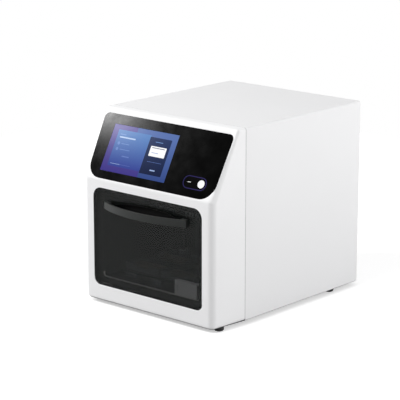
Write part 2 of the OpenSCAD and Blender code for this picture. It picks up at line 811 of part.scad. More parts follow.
module plate_nests() {
  color([0.35, 0.36, 0.38]) in_body() for (m = [-1, 1])
    translate([m * nest_x, tray_cy, tray_top]) difference() {
      translate([0, 0, nest_h / 2]) cube([nest_w + 2 * nest_t, nest_l + 2 * nest_t, nest_h], center = true);
      translate([0, 0, nest_h / 2]) cube([nest_w, nest_l, nest_h + 1], center = true);
      // finger notches at the ends and the sides
      for (k = [-1, 1]) translate([0, k * nest_l / 2, nest_h])
        cube([34, nest_l / 3, 2 * (nest_h - heater_h)], center = true);
      translate([0, 0, nest_h]) cube([nest_w + 12, 40, 2 * (nest_h - heater_h)], center = true);
    }
}

module heating_blocks() {
  block_l = 22;
  color([0.7, 0.62, 0.5]) in_body() for (m = [-1, 1], k = [-1, 1])
    translate([m * nest_x, tray_cy + k * (2 * pitch + row_dy / 2 + 4.5), tray_top]) difference() {
      translate([0, 0, heater_h / 2]) cube([nest_w - 6, block_l, heater_h], center = true);
      for (i = [1 : columns], j = [-0.5, 0.5]) translate([(i - (columns + 1) / 2) * pitch, j * pitch, 2.5])
        cylinder(r = well_r, h = heater_h);
    }
}

module tray_nut() {
  color([0.55, 0.45, 0.25]) in_body() difference() {
    box([-13, 13], [tray_cy - 11, tray_cy + 11], [floor_z + 1.5, tray_z]);
    translate([0, tray_cy - 12, tray_screw_z])
      rotate([-90, 0, 0]) cylinder(r = screw_r * 0.75 + run_fit, h = 24);
  }
}

module tray_screw() {
  color(steel) in_body() translate([0, 0, tray_screw_z]) rotate([-90, 0, 0]) {
    translate([0, 0, liner_y + 16]) cylinder(r = screw_r * 0.75, h = rear_y - liner_y - 39);
    translate([0, 0, rear_y - 24]) cylinder(r = 5.5, h = 20);
    translate([0, 0, rear_y - 5]) cylinder(r = 2.5, h = 9);
  }
}

module tray_bearing() {
  color([0.45, 0.47, 0.5]) in_body() difference() {
    box([-12, 12], [liner_y + 16, liner_y + 28], [floor_z, tray_z - slide_gap]);
    translate([0, liner_y, tray_screw_z]) rotate([-90, 0, 0]) cylinder(r = screw_r * 0.75 + run_fit, h = 40);
  }
}

module motor(w, l) {
  difference() {
    union() {
      intersection() {
        translate([0, 0, l / 2]) cube([w, w, l], center = true);
        rotate(45) translate([0, 0, l / 2]) cube([w * 1.28, w * 1.28, l], center = true);
      }
      translate([0, 0, -1.4]) cylinder(r = 11, h = 1.4 + eps);
    }
    translate([0, 0, -2]) cylinder(r = 2.5 + 0.1, h = 12);
    for (z = [8, l - 9]) translate([0, 0, z]) difference() {
      cube([w + 1, w + 1, 1], center = true);
      cube([w - 1, w - 1, 1.2], center = true);
    }
  }
}

module tray_motor() {
  color([0.2, 0.2, 0.21]) in_body()
    translate([0, rear_y + liner_t, tray_screw_z]) rotate([-90, 0, 0]) motor(35, 34);
}

module lift_motors() {
  color([0.2, 0.2, 0.21]) in_body()
    for (m = [-1, 1]) translate([m * screw_x, guide_y, roof_z + 5]) motor(motor_w, motor_l);
}

module guide_rods() {
  color([0.85, 0.86, 0.88]) in_body() each_side()
    translate([guide_x, guide_y, floor_z]) cylinder(r = guide_r, h = roof_z + 5 - floor_z);
}

module rod_clamps() {
  color([0.45, 0.47, 0.5]) in_body() each_side() {
    for (z = [floor_z, roof_z - 14]) difference() {
      translate([guide_x, guide_y, z]) cylinder(r = clamp_r, h = 14);
      translate([guide_x, guide_y, z - 1]) cylinder(r = guide_r, h = 16);
    }
  }
}

module screw_bearings() {
  color([0.45, 0.47, 0.5]) in_body() each_side() difference() {
    box([screw_x - 12, screw_x + 12], [guide_y - 12, guide_y + 12], [floor_z, floor_z + 12]);
    translate([screw_x, guide_y, floor_z + 2]) cylinder(r = screw_r + run_fit, h = 12);
  }
}

module lead_screw(x) {
  color(steel) in_body() translate([x, guide_y, 0]) {
    translate([0, 0, floor_z + 2.2]) cylinder(r = screw_r, h = roof_z - floor_z - coupling_l - 5);
    translate([0, 0, roof_z - coupling_l - 4]) cylinder(r = coupling_r, h = coupling_l);
    translate([0, 0, roof_z - 5]) cylinder(r = 2.5, h = 17);
  }
}

module magnet_screw() {
  lead_screw(-screw_x);
}

module sleeve_screw() {
  lead_screw(screw_x);
}

// Plate of a lifting head, with its guide bores and the hole for the other head's screw
module head_plate(z, nut_side) {
  color(alloy) in_body() difference() {
    union() {
      box([-tray_x, tray_x], [head_front, guide_y - 30], [z, z + head_t]);
      box([-head_x, head_x], [guide_y - 30, head_back], [z, z + head_t]);
      each_side() box([tray_x - 8, tray_x], [head_front, guide_y - 20], [z + head_t, z + head_t + 4]);
    }
    each_side() {
      translate([guide_x, guide_y, z - 1]) cylinder(r = bush_r, h = head_t + 2);
      box([10, tray_x - 16], [head_cy + row_dy + 14, guide_y - 24], [z - 1, z + head_t + 1]);
    }
    translate([nut_side * screw_x, guide_y, z - 1]) cylinder(r = 7, h = head_t + 2);
    translate([-nut_side * screw_x, guide_y, z - 1]) cylinder(r = screw_r + 3, h = head_t + 2);
    children();
  }
}

module rod_places() {
  for (m = [-1, 1], k = [-1, 1], i = [1 : columns])
    translate([m * nest_x + (i - (columns + 1) / 2) * pitch, head_cy + k * row_dy, 0]) children();
}

// Bushes with their flanges: above the plate or below it
module bushes(z, up) {
  color([0.6, 0.62, 0.65]) in_body() each_side() translate([guide_x, guide_y, z]) difference() {
    union() {
      translate([0, 0, up ? 0 : head_t - bush_l]) cylinder(r = bush_r, h = bush_l);
      translate([0, 0, up ? head_t : -4]) cylinder(r = bush_flange_r, h = 4);
    }
    translate([0, 0, -bush_l]) cylinder(r = guide_r + run_fit, h = 3 * bush_l);
  }
}

module lead_nut(x, z, up) {
  color([0.6, 0.48, 0.25]) in_body() translate([x, guide_y, z]) difference() {
    union() {
      translate([0, 0, up ? 0 : -8]) cylinder(r = 7, h = head_t + 8);
      translate([0, 0, up ? head_t : -4]) cylinder(r = 11, h = 4);
    }
    translate([0, 0, -20]) cylinder(r = screw_r + 0.1, h = 60);
  }
}

module magnet_plate() {
  head_plate(magnet_z0, -1)
    translate([0, 0, magnet_z0 - 1]) rod_places() cylinder(r = rod_r, h = 6);
}

module magnet_rods() {
  color([0.75, 0.76, 0.78]) in_body() rod_places() {
    translate([0, 0, magnet_z0 - rod_l]) cylinder(r1 = rod_r - 0.8, r2 = rod_r, h = 2, $fn = 24);
    translate([0, 0, magnet_z0 - rod_l + 2]) cylinder(r = rod_r, h = rod_l + 3, $fn = 24);
  }
}

module magnet_bushes() {
  bushes(magnet_z0, true);
}

module magnet_nut() {
  lead_nut(-screw_x, magnet_z0, true);
}

module sleeve_plate() {
  head_plate(sleeve_z, 1)
    translate([0, 0, sleeve_z - 1]) rod_places() cylinder(r = seat_r, h = head_t + 2, $fn = 24);
}

module sleeve_bushes() {
  bushes(sleeve_z, false);
}

module sleeve_nut() {
  lead_nut(screw_x, sleeve_z, false);
}

module power_supply() {
  color(steel) in_body() difference() {
    box([supply_x, supply_x + supply_w], [supply_y, supply_y + supply_l], [sheet_t, supply_h]);
    for (y = [supply_y + 16 : 9 : supply_y + supply_l - 16])
      box([supply_x + supply_w - 1, supply_x + supply_w + 1], [y, y + 4], [14, supply_h - 10]);
  }
}

module control_board() {
  color([0.1, 0.35, 0.2]) in_body() {
    top = board_z + 1.6;
    translate([board_x, board_y, board_z]) cube([board_w, board_l, 1.6]);
    translate([board_x + board_w / 2 - 20, board_y + board_l / 2 - 20, top]) cube([40, 40, 3.4]);
    for (x = [10 : 26 : board_w - 50]) translate([board_x + x, board_y + 2, top]) cube([18, 8, 10]);
    for (x = [30 : 16 : 62])
      translate([board_x + board_w - x, board_y + board_l - 12, top]) cylinder(r = 6, h = 20);
  }
}

module board_standoffs() {
  right = body_w / 2 - cover_flange - standoff_r - 1;
  color(steel) in_body() for (x = [board_x + 6, right], y = [board_y + 16, board_y + board_l - 6])
    translate([x, y, sheet_t]) cylinder(r = standoff_r, h = board_z - sheet_t, $fn = 6);
}

module exhaust_filter() {
  color([0.9, 0.9, 0.86]) in_body() difference() {
    translate([filter_x, rear_y + liner_t, filter_z]) cube([filter_w, 24, filter_h]);
    for (x = [6 : 8 : filter_w - 12])
      translate([filter_x + x, rear_y + liner_t + 4, filter_z + 6]) cube([4, 26, filter_h - 12]);
  }
}

module fan_frame() {
  y0 = body_d - 1.5 * sheet_t - fan_t;
  color(dark) in_body() difference() {
    union() {
      difference() {
        upright(y0, y0 + fan_t) translate([fan_x, fan_z]) square(fan_w, center = true);
        translate([fan_x, y0 + fan_t + 1, fan_z])
          rotate([90, 0, 0]) cylinder(r = fan_w / 2 - 2, h = fan_t + 2);
      }
      translate([fan_x, y0 + 4, fan_z]) rotate([90, 0, 0]) cylinder(r = 15, h = 4);
      for (a = [45 : 90 : 315]) translate([fan_x, y0, fan_z]) rotate([0, a, 0])
        translate([12, 0.5, -2]) cube([fan_w / 2 - 9, 2.5, 4]);
      translate([fan_x, y0 + 14, fan_z]) rotate([90, 0, 0]) cylinder(r = 3, h = 11);
    }
    fan_screw_places() translate([0, y0 - 1, 0]) rotate([-90, 0, 0]) cylinder(r = 1.6, h = fan_t + 3);
  }
}

module fan_rotor() {
  y0 = body_d - 1.5 * sheet_t - fan_t + 5;
  color([0.2, 0.2, 0.2]) in_body() translate([fan_x, y0, fan_z]) rotate([-90, 0, 0]) difference() {
    union() {
      cylinder(r = 14, h = fan_t - 7);
      for (a = [0 : 360 / 7 : 359]) rotate(a) translate([12, -1, 2]) rotate([35, 0, 0])
        cube([fan_w / 2 - 16, 1.6, fan_t - 11]);
    }
    translate([0, 0, -1]) cylinder(r = 3 + run_fit, h = 12);
  }
}

module fan_guard() {
  wire = 1.1;
  y0 = guard_y - wire;
  color(steel) in_body() {
    for (r = [8 : 8 : fan_w / 2 - 2]) translate([fan_x, y0, fan_z]) rotate([90, 0, 0])
      rotate_extrude($fn = 64) translate([r, 0]) circle(wire, $fn = 16);
    for (a = [45, 135]) translate([fan_x, y0 - 1.5 * wire, fan_z]) rotate([0, a, 0])
      cylinder(r = wire, h = 2 * (fan_w / 2 - 5) * sqrt(2) - 6.4, center = true, $fn = 16);
    fan_screw_places() translate([0, guard_y - 2, 0]) rotate([90, 0, 0]) difference() {
      cylinder(r = 4, h = guard_y - 2 - rear_face);
      translate([0, 0, -1]) cylinder(r = 1.6, h = 12);
    }
  }
}

module power_inlet() {
  color(dark) in_body() difference() {
    union() {
      upright(rear_face, rear_face + 2) translate([inlet_x, inlet_z]) {
        square([30, 24], center = true);
        square([48, 12], center = true);
      }
      upright(rear_face - 20, rear_face + 1)
        translate([inlet_x, inlet_z]) square([27.2, 19.2], center = true);
    }
    upright(rear_face - 17, rear_face + 3) translate([inlet_x, inlet_z])
      polygon([[-12, -8], [12, -8], [12, 4.5], [8.5, 8], [-8.5, 8], [-12, 4.5]]);
    for (m = [-1, 1]) translate([inlet_x + m * 20, rear_face + 3, inlet_z])
      rotate([90, 0, 0]) cylinder(r = 1.7, h = 6);
  }
  color(steel) in_body() for (p = [[-7, -2.5], [0, 2.5], [7, -2.5]])
    translate([inlet_x + p[0] - 1, rear_face - 18, inlet_z + p[1] - 2]) cube([2, 13, 4]);
}

module switch_body() {
  color(dark) in_body() difference() {
    union() {
      upright(rear_face, rear_face + 1.5)
        translate([switch_x, inlet_z]) square([16, 22], center = true);
      upright(rear_face - 16, rear_face + 1)
        translate([switch_x, inlet_z]) square([13, 19.2], center = true);
    }
    upright(rear_face - 9, rear_face + 3) translate([switch_x, inlet_z]) square([10, 16.4], center = true);
    translate([switch_x - 7, rear_face - 3, inlet_z]) rotate([0, 90, 0]) cylinder(r = 1 + run_fit, h = 14);
  }
}

module mains_rocker() {
  color([0.1, 0.1, 0.1]) in_body() translate([0, rear_face - 3, inlet_z]) rotate([rocker_tilt, 0, 0]) {
    across(switch_x - 4.7, switch_x + 4.7)
      polygon([[0, -6.4], [5.2, -7], [3.4, 0], [5.2, 7], [0, 6.4], [-2.5, 0]]);
    translate([switch_x - 6.2, 0, 0]) rotate([0, 90, 0]) cylinder(r = 1, h = 12.4);
  }
}

module usb_ports() {
  color(steel) in_body() for (i = [0, 1]) difference() {
    upright(rear_face - 16, rear_face + 0.8)
      translate([port_x - 22 * i, port_z]) square([13.4, 6.4], center = true);
    upright(rear_face - 14, rear_face + 2) translate([port_x - 22 * i, port_z]) difference() {
      square([12.4, 5.4], center = true);
      translate([0, 1]) square([11.2, 1.8], center = true);
    }
  }
}

module network_port() {
  color(steel) in_body() difference() {
    upright(rear_face - 18, rear_face + 0.8)
      translate([port_x - 48, port_z + 3]) square([16, 13.4], center = true);
    upright(rear_face - 14, rear_face + 2) translate([port_x - 48, port_z + 3]) {
      translate([0, 1]) square([12, 8], center = true);
      translate([0, -3.5]) square([6, 3], center = true);
    }
  }
}

front_bezel();
rear_cover();
base_plate();
rear_panel();
feet();
control_panel();
display();
display_frame();
button_ring();
button_switch();
power_button();
door_panel();
door_handle();
handle_cup();
hinge_pins();
strike_plates();
catch_magnets();
door_seal();
chamber_liner();
chamber_mouth();
chamber_floor();
roof_plate();
interlock_box();
uv_lamp();
uv_sockets();
tray_rails();
rail_carriages();
plate_tray();
plate_nests();
heating_blocks();
tray_nut();
tray_screw();
tray_bearing();
tray_motor();
guide_rods();
rod_clamps();
screw_bearings();
lift_motors();
magnet_screw();
sleeve_screw();
magnet_plate();
magnet_rods();
magnet_bushes();
magnet_nut();
sleeve_plate();
sleeve_bushes();
sleeve_nut();
power_supply();
control_board();
board_standoffs();
exhaust_filter();
fan_frame();
fan_rotor();
fan_guard();
power_inlet();
switch_body();
mains_rocker();
usb_ports();
network_port();
case_screws();
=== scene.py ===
import json
import math

import bmesh
import bpy
from mathutils import Matrix, Vector

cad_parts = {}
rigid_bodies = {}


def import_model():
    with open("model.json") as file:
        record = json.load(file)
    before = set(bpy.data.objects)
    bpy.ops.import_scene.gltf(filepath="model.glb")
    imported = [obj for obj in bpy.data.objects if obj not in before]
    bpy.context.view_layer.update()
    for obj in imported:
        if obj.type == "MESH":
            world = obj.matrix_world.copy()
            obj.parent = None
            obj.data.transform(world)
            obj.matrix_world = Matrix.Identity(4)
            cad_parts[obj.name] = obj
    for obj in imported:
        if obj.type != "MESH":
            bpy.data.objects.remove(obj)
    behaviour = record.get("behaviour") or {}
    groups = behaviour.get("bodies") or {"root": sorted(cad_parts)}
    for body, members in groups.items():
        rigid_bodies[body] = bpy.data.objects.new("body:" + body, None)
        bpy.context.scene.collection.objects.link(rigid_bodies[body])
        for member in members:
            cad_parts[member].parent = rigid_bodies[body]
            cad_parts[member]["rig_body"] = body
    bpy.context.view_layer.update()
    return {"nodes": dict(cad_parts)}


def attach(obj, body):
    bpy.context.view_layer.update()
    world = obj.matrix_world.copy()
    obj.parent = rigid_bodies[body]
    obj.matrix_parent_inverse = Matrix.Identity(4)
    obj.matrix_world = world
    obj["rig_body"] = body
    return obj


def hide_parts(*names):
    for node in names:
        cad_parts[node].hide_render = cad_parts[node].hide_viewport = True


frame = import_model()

scene = bpy.context.scene
print("frame loaded:", len(frame["nodes"]), "nodes")

# Sizes are in millimetres. Body coordinates: y is the depth behind the front face,
# z the height over the underside.
body = {
    "frontY": -218.5, "footHeight": 8, "width": 360, "height": 391,
    "kinkHeight": 256, "slantBack": 73, "seamDepth": 92, "rearFace": 460.25,
}
tilt = math.atan2(body["slantBack"], body["height"] - body["kinkHeight"])
toFrame = Matrix.Scale(0.001, 4) @ Matrix.Translation((0, body["frontY"], body["footHeight"]))
fromFrame = toFrame.inverted()
# on the slanted face: x, distance up the slant, height out of the face
kinkLine = Matrix.Translation((0, 0, body["kinkHeight"]))
toSlant = toFrame @ kinkLine @ Matrix.Rotation(math.pi / 2 - tilt, 4, "X")


def linear(hexText):
    # sRGB hex to the linear colour that the shaders take
    values = [int(hexText[i:i + 2], 16) / 255 for i in (1, 3, 5)]
    return [v / 12.92 if v <= 0.04045 else ((v + 0.055) / 1.055) ** 2.4 for v in values] + [1]


def addNode(material, kind, settings, inputs):
    # one node with its settings, and a value or a link for each socket
    node = material.node_tree.nodes.new(kind)
    for key, value in settings.items():
        setattr(node, key, value)
    for key, value in inputs.items():
        if isinstance(value, bpy.types.NodeSocket):
            material.node_tree.links.new(value, node.inputs[key])
        else:
            node.inputs[key].default_value = value
    return node


def startFinish(name, shader):
    material = bpy.data.materials.new(name)
    material.use_nodes = True
    surface = material.node_tree.nodes["Principled BSDF"]
    for key, value in shader.items():
        surface.inputs[key].default_value = value
    place = addNode(material, "ShaderNodeTexCoord", {}, {}).outputs["Object"]
    return material, surface, place


def colourShift(material, surface, place, hexText, grain, amount):
    # slow drift of the colour, as between one batch of resin or powder and the next
    drift = addNode(material, "ShaderNodeTexNoise", {}, {"Vector": place, "Scale": 1000 / grain, "Detail": 3})
    low = [c * (1 - amount) for c in linear(hexText)[:3]] + [1]
    high = [min(1, c * (1 + amount)) for c in linear(hexText)[:3]] + [1]
    mixed = addNode(material, "ShaderNodeMix", {"data_type": "RGBA"},
                    {0: drift.outputs["Fac"], 6: low, 7: high})
    material.node_tree.links.new(mixed.outputs[2], surface.inputs["Base Color"])


def roughnessShift(material, surface, place, low, high, grain):
    # light and dull spots from handling and cleaning
    spots = addNode(material, "ShaderNodeTexNoise", {}, {"Vector": place, "Scale": 1000 / grain, "Detail": 4})
    span = addNode(material, "ShaderNodeMapRange", {}, {
        "Value": spots.outputs["Fac"], "From Min": 0.3, "From Max": 0.7, "To Min": low, "To Max": high})
    material.node_tree.links.new(span.outputs["Result"], surface.inputs["Roughness"])


def relief(material, surface, height, distance, strength):
    bump = addNode(material, "ShaderNodeBump", {},
                   {"Height": height, "Distance": distance, "Strength": strength})
    material.node_tree.links.new(bump.outputs["Normal"], surface.inputs["Normal"])


def mouldedPlastic(name, hexText, low, high, grit, depth, drift=0.015, level=0.5):
    # injection moulding: the tool's spark-eroded texture leaves a fine even grain, so gloss is soft
    material, surface, place = startFinish(name, {"IOR": 1.53, "Specular IOR Level": level})
    colourShift(material, surface, place, hexText, 120, drift)
    roughnessShift(material, surface, place, low, high, 40)
    grain = addNode(material, "ShaderNodeTexNoise", {}, {"Vector": place, "Scale": 1000 / grit, "Detail": 2})
    relief(material, surface, grain.outputs["Fac"], depth / 1000, 0.35)
    return material


def powderCoat(name, hexText, low, high, peel, depth, drift=0.012):
    # polyester powder baked on sheet steel: flowed resin leaves a slight orange peel over a fine grit
    material, surface, place = startFinish(name, {"IOR": 1.5})
    colourShift(material, surface, place, hexText, 200, drift)
    roughnessShift(material, surface, place, low, high, 60)
    waves = addNode(material, "ShaderNodeTexNoise", {}, {"Vector": place, "Scale": 1000 / peel, "Detail": 1})
    specks = addNode(material, "ShaderNodeTexNoise", {}, {"Vector": place, "Scale": 5000 / peel, "Detail": 1})
    both = addNode(material, "ShaderNodeMath", {"operation": "MULTIPLY_ADD"},
                   {0: specks.outputs["Fac"], 1: 0.3, 2: waves.outputs["Fac"]})
    relief(material, surface, both.outputs[0], depth / 1000, 0.3)
    return material


def brushedMetal(name, hexText, low, high, line, along, depth, drift=0.05):
    # rolled or brushed stock: long fine scratches along one axis stretch the highlights across it
    material, surface, place = startFinish(name, {"Metallic": 1})
    stretch = [1000 / line] * 3
    stretch["XYZ".index(along)] = 1000 / (line * 60)
    turned = addNode(material, "ShaderNodeMapping", {}, {"Vector": place, "Scale": stretch})
    scratches = addNode(material, "ShaderNodeTexNoise", {},
                        {"Vector": turned.outputs[0], "Scale": 1, "Detail": 3})
    tone = linear(hexText)[:3]
    mixed = addNode(material, "ShaderNodeMix", {"data_type": "RGBA"},
                    {0: scratches.outputs["Fac"], 6: [c * (1 - drift) for c in tone] + [1],
                     7: [min(1, c * (1 + drift)) for c in tone] + [1]})
    material.node_tree.links.new(mixed.outputs[2], surface.inputs["Base Color"])
    span = addNode(material, "ShaderNodeMapRange", {}, {
        "Value": scratches.outputs["Fac"], "From Min": 0.3, "From Max": 0.7, "To Min": low, "To Max": high})
    material.node_tree.links.new(span.outputs["Result"], surface.inputs["Roughness"])
    relief(material, surface, scratches.outputs["Fac"], depth / 1000, 0.25)
    return material


def glossSheet(name, hexText, rough, level, alpha=1.0, coat=0.0):
    # cast acrylic or glass with a polished face: deep colour, tight highlights, faint smears from hands
    material, surface, place = startFinish(name, {"IOR": 1.49, "Specular IOR Level": level, "Alpha": alpha,
                                                  "Coat Weight": coat, "Coat Roughness": rough})
    colourShift(material, surface, place, hexText, 90, 0.06)
    roughnessShift(material, surface, place, rough, rough + 0.05, 25)
    swell = addNode(material, "ShaderNodeTexNoise", {}, {"Vector": place, "Scale": 1000 / 45, "Detail": 0})
    relief(material, surface, swell.outputs["Fac"], 0.02 / 1000, 0.1)
    return material


def litPlastic(name, lowHex, highHex, start, end, axis, strength=0.9):
    # back-lit picture or lens: its own light carries the colour, which fades from one end to the other
    material, surface, place = startFinish(name, {"Base Color": [0.003, 0.003, 0.003, 1], "Roughness": 0.135,
                                                  "Specular IOR Level": 0.015, "Emission Strength": strength})
    axes = addNode(material, "ShaderNodeSeparateXYZ", {}, {"Vector": place})
    span = addNode(material, "ShaderNodeMapRange", {},
                   {"Value": axes.outputs[axis], "From Min": start, "From Max": end})
    mixed = addNode(material, "ShaderNodeMix", {"data_type": "RGBA"},
                    {0: span.outputs["Result"], 6: linear(lowHex), 7: linear(highHex)})
    material.node_tree.links.new(mixed.outputs[2], surface.inputs["Emission Color"])
    grille = addNode(material, "ShaderNodeTexNoise", {}, {"Vector": place, "Scale": 1000 / 0.6, "Detail": 1})
    relief(material, surface, grille.outputs["Fac"], 0.01 / 1000, 0.1)
    return material


finishes = {
    "bezel": mouldedPlastic("white moulded ABS", "#F3F3F4", 0.42, 0.5, 0.9, 0.03),
    "cover": powderCoat("white powder coat", "#EDEDEE", 0.44, 0.52, 1.6, 0.05),
    "base": powderCoat("dark grey powder coat", "#2B2C2E", 0.5, 0.6, 1.6, 0.06),
    "foot": mouldedPlastic("black nitrile rubber", "#161617", 0.75, 0.88, 0.7, 0.05),
    "panel": glossSheet("back-printed black glass", "#010101", 0.11, 0.015),
    "displayBlack": glossSheet("display cell behind glass", "#010103", 0.11, 0.015),
    "door": glossSheet("smoked cast acrylic", "#141716", 0.08, 0.18, 0.5),
    "handle": mouldedPlastic("grey moulded ABS", "#2E302F", 0.34, 0.42, 0.8, 0.02, 0.015, 0.12),
    "cup": mouldedPlastic("black moulded ABS", "#0B0B0B", 0.4, 0.5, 0.8, 0.03, 0.015, 0.03),
    "foam": mouldedPlastic("dark grey foam rubber", "#3A3B3C", 0.85, 0.95, 0.5, 0.05),
    "seal": mouldedPlastic("black silicone rubber", "#121213", 0.7, 0.82, 0.6, 0.03),
    "liner": powderCoat("black-coated aluminium sheet", "#0C0D0E", 0.5, 0.6, 1.4, 0.04),
    "floorSheet": brushedMetal("rolled aluminium sheet", "#C3C6CA", 0.34, 0.46, 0.5, "X", 0.01),
    "darkPlate": brushedMetal("black-anodised aluminium", "#26282A", 0.34, 0.46, 0.4, "X", 0.008),
    "heater": brushedMetal("hard-anodised aluminium", "#6A645C", 0.42, 0.5, 0.4, "X", 0.006),
    "rod": brushedMetal("ground bearing steel", "#C9CCD0", 0.12, 0.2, 0.25, "Z", 0.003, 0.03),
    "railSteel": brushedMetal("ground rail steel", "#B4B8BC", 0.18, 0.26, 0.3, "Y", 0.004, 0.03),
    "carriage": brushedMetal("blackened carriage steel", "#6F7479", 0.3, 0.42, 0.4, "Y", 0.01),
    "zinc": brushedMetal("zinc-plated steel", "#B8BCC0", 0.26, 0.4, 0.6, "X", 0.008),
    "brass": brushedMetal("turned brass", "#B89A5E", 0.24, 0.36, 0.3, "Z", 0.006),
    "nest": mouldedPlastic("dark moulded polycarbonate", "#3C3E41", 0.38, 0.48, 0.8, 0.02),
    "greyPlastic": mouldedPlastic("light grey moulded ABS", "#EEEFF0", 0.42, 0.52, 0.8, 0.02),
    "blackPlastic": mouldedPlastic("black moulded polyamide", "#17181A", 0.4, 0.52, 0.7, 0.03),
    "motor": powderCoat("black lacquered motor steel", "#1D1E20", 0.36, 0.46, 1.2, 0.03),
    "socket": mouldedPlastic("white moulded polycarbonate", "#DCDCD8", 0.36, 0.46, 0.8, 0.02),
    "board": glossSheet("green solder mask", "#155232", 0.28, 0.4),
    "filter": mouldedPlastic("pleated glass-fibre paper", "#D9D8CF", 0.85, 0.95, 0.5, 0.1),
    "lamp": glossSheet("quartz lamp tube", "#DDE3EE", 0.05, 0.5, 0.55),
    "ringLight": litPlastic("violet back-lit ring", "#463E8C", "#5A509E", 0.085, 0.145, "X", 0.3),
    "buttonLight": litPlastic("white back-lit button", "#FAFAFD", "#FFFFFF", 0.12, 0.15, "X", 1.0),
    "screenBlue": litPlastic("screen field, blue", "#344C8C", "#5874B4", 0.285, 0.36, "Z"),
    "screenViolet": litPlastic("screen field, violet", "#40368C", "#5F56A2", 0.285, 0.36, "Z"),
    "screenCard": litPlastic("screen card, blue", "#344299", "#5A8ACA", 0.292, 0.36, "Z"),
    "screenNavy": litPlastic("screen card, navy", "#0C1B42", "#1A3262", 0.29, 0.36, "Z"),
    "screenWhite": litPlastic("screen tile, white", "#FAFBFF", "#FFFFFF", 0.3, 0.36, "Z", 1.0),
    "screenPale": litPlastic("screen mark, pale blue", "#A6BFEC", "#C2DAFA", 0.3, 0.36, "Z"),
    "screenSoft": litPlastic("screen mark, soft blue", "#5262B4", "#7CA6E0", 0.29, 0.36, "Z"),
}
print("finishes made:", len(finishes))


def addPiece(bm, name, finish, bodyName, replaced=(), matrix=toFrame, turnOut=True, smooth=32):
    # from a bmesh in millimetres to an object at the origin that rides on its body
    if turnOut:
        bmesh.ops.remove_doubles(bm, verts=bm.verts, dist=0.001)
        bmesh.ops.recalc_face_normals(bm, faces=bm.faces)
    bmesh.ops.transform(bm, matrix=matrix, verts=bm.verts)
    mesh = bpy.data.meshes.new(name)
    bm.to_mesh(mesh)
    bm.free()
    mesh.materials.append(finishes[finish])
    mesh.shade_smooth()
    mesh.set_sharp_from_angle(angle=math.radians(smooth))
    piece = bpy.data.objects.new(name, mesh)
    scene.collection.objects.link(piece)
    # large flats stay flat beside their rounded edges
    flat = piece.modifiers.new("flatFaces", "WEIGHTED_NORMAL")
    flat.weight = 100
    flat.keep_sharp = True
    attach(piece, bodyName)
    if replaced:
        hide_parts(*replaced)
    return piece


sharpAngle = math.radians(35)  # edges that turn by more than this are broken


def softCopy(node, finish, passes):
    # a solid with its edges broken; each pass gives width, segments and a test that its points meet
    source = frame["nodes"][node]
    bm = bmesh.new()
    bm.from_mesh(source.data)
    bmesh.ops.transform(bm, matrix=fromFrame, verts=bm.verts)
    bmesh.ops.remove_doubles(bm, verts=bm.verts, dist=0.002)
    bmesh.ops.dissolve_limit(bm, angle_limit=math.radians(0.4), verts=bm.verts, edges=bm.edges)
    for width, segments, test in passes:
        edges = [e for e in bm.edges if len(e.link_faces) == 2 and e.calc_face_angle(0) > sharpAngle
                 and all(test(v.co) for v in e.verts)]
        bmesh.ops.bevel(bm, geom=edges, offset=width, offset_type="OFFSET", segments=segments,
                        profile=0.5, affect="EDGES", clamp_overlap=False, material=-1)
    name = node.replace("_", "-") + "-finished"
    return addPiece(bm, name, finish, source["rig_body"], (node,), turnOut=False)


flush = 0.02  # how near a point lies to a face that it belongs to


def anywhere(point):
    return True


def onSlantFace(point):
    up = point.z - body["kinkHeight"]
    return abs(-point.y * math.cos(tilt) + up * math.sin(tilt)) < flush and up > 1


def onFrontFace(point):
    return abs(point.y) < flush


def onSeam(point):
    return abs(point.y - body["seamDepth"]) < flush


# moulded bezel: soft lips round the door, fine ones round the panel and at the seam
bezel = {
    "doorLip": 1.6, "panelLip": 0.5, "seamLip": 0.4,
    "frameDepth": (1.2, 13), "frameHalf": 153, "frameHeight": (30, 245),
}
shell = softCopy("front_bezel", "bezel", [
    (bezel["doorLip"], 4, onFrontFace),
    (bezel["panelLip"], 2, onSlantFace),
    (bezel["seamLip"], 3, onSeam),
])
# painted shade: the bezel's faces in the door's frame behind the lip take the black finish, so the gap round
# the door reads as a dark line
shell.data.materials.append(finishes["cup"])
for face in shell.data.polygons:
    at = fromFrame @ face.center
    inDepth = bezel["frameDepth"][0] < at.y < bezel["frameDepth"][1]
    inHeight = bezel["frameHeight"][0] < at.z < bezel["frameHeight"][1]
    # painted shade: faces inside the door's frame take the black finish
    if inDepth and inHeight and abs(at.x) < bezel["frameHalf"]:
        face.material_index = 1

# folded cover with its cut edges broken; the hem that turns under takes the dark finish as painted shade, the
# shadow line along the cover's lower edge
cover = {"edge": 0.5, "front": 93, "rear": 460.9, "paintedShadeTilt": -0.6, "hem": 5}
shell = softCopy("rear_cover", "cover", [
    (cover["edge"], 3, lambda p: p.y < cover["front"] or p.y > cover["rear"]),
])
shell.data.materials.append(finishes["base"])
# painted shade: faces at the hem that point down take the dark finish
for face in shell.data.polygons:
    if face.normal.z < cover["paintedShadeTilt"] and (fromFrame @ face.center).z < cover["hem"]:
        face.material_index = 1


def cornerArc(x, z, radius, start):
    # quarter of a circle in eight steps, from its start angle on
    return [(x + radius * math.cos(start + i * math.pi / 16), z + radius * math.sin(start + i * math.pi / 16))
            for i in range(9)]


def addStrip(paths, depths, name, finish):
    # a long strip between two paths of x and z, from one depth to the other
    bm = bmesh.new()
    loops = [[bm.verts.new((x, y, z)) for x, z in path] for path in paths for y in depths]
    for one, other in ((0, 1), (1, 3), (3, 2), (2, 0)):
        for i in range(len(loops[0]) - 1):
            bm.faces.new((loops[one][i], loops[one][i + 1], loops[other][i + 1], loops[other][i]))
    for end in (0, -1):
        bm.faces.new([loops[k][end] for k in (0, 1, 3, 2)])
    return addPiece(bm, name, finish, "housing")


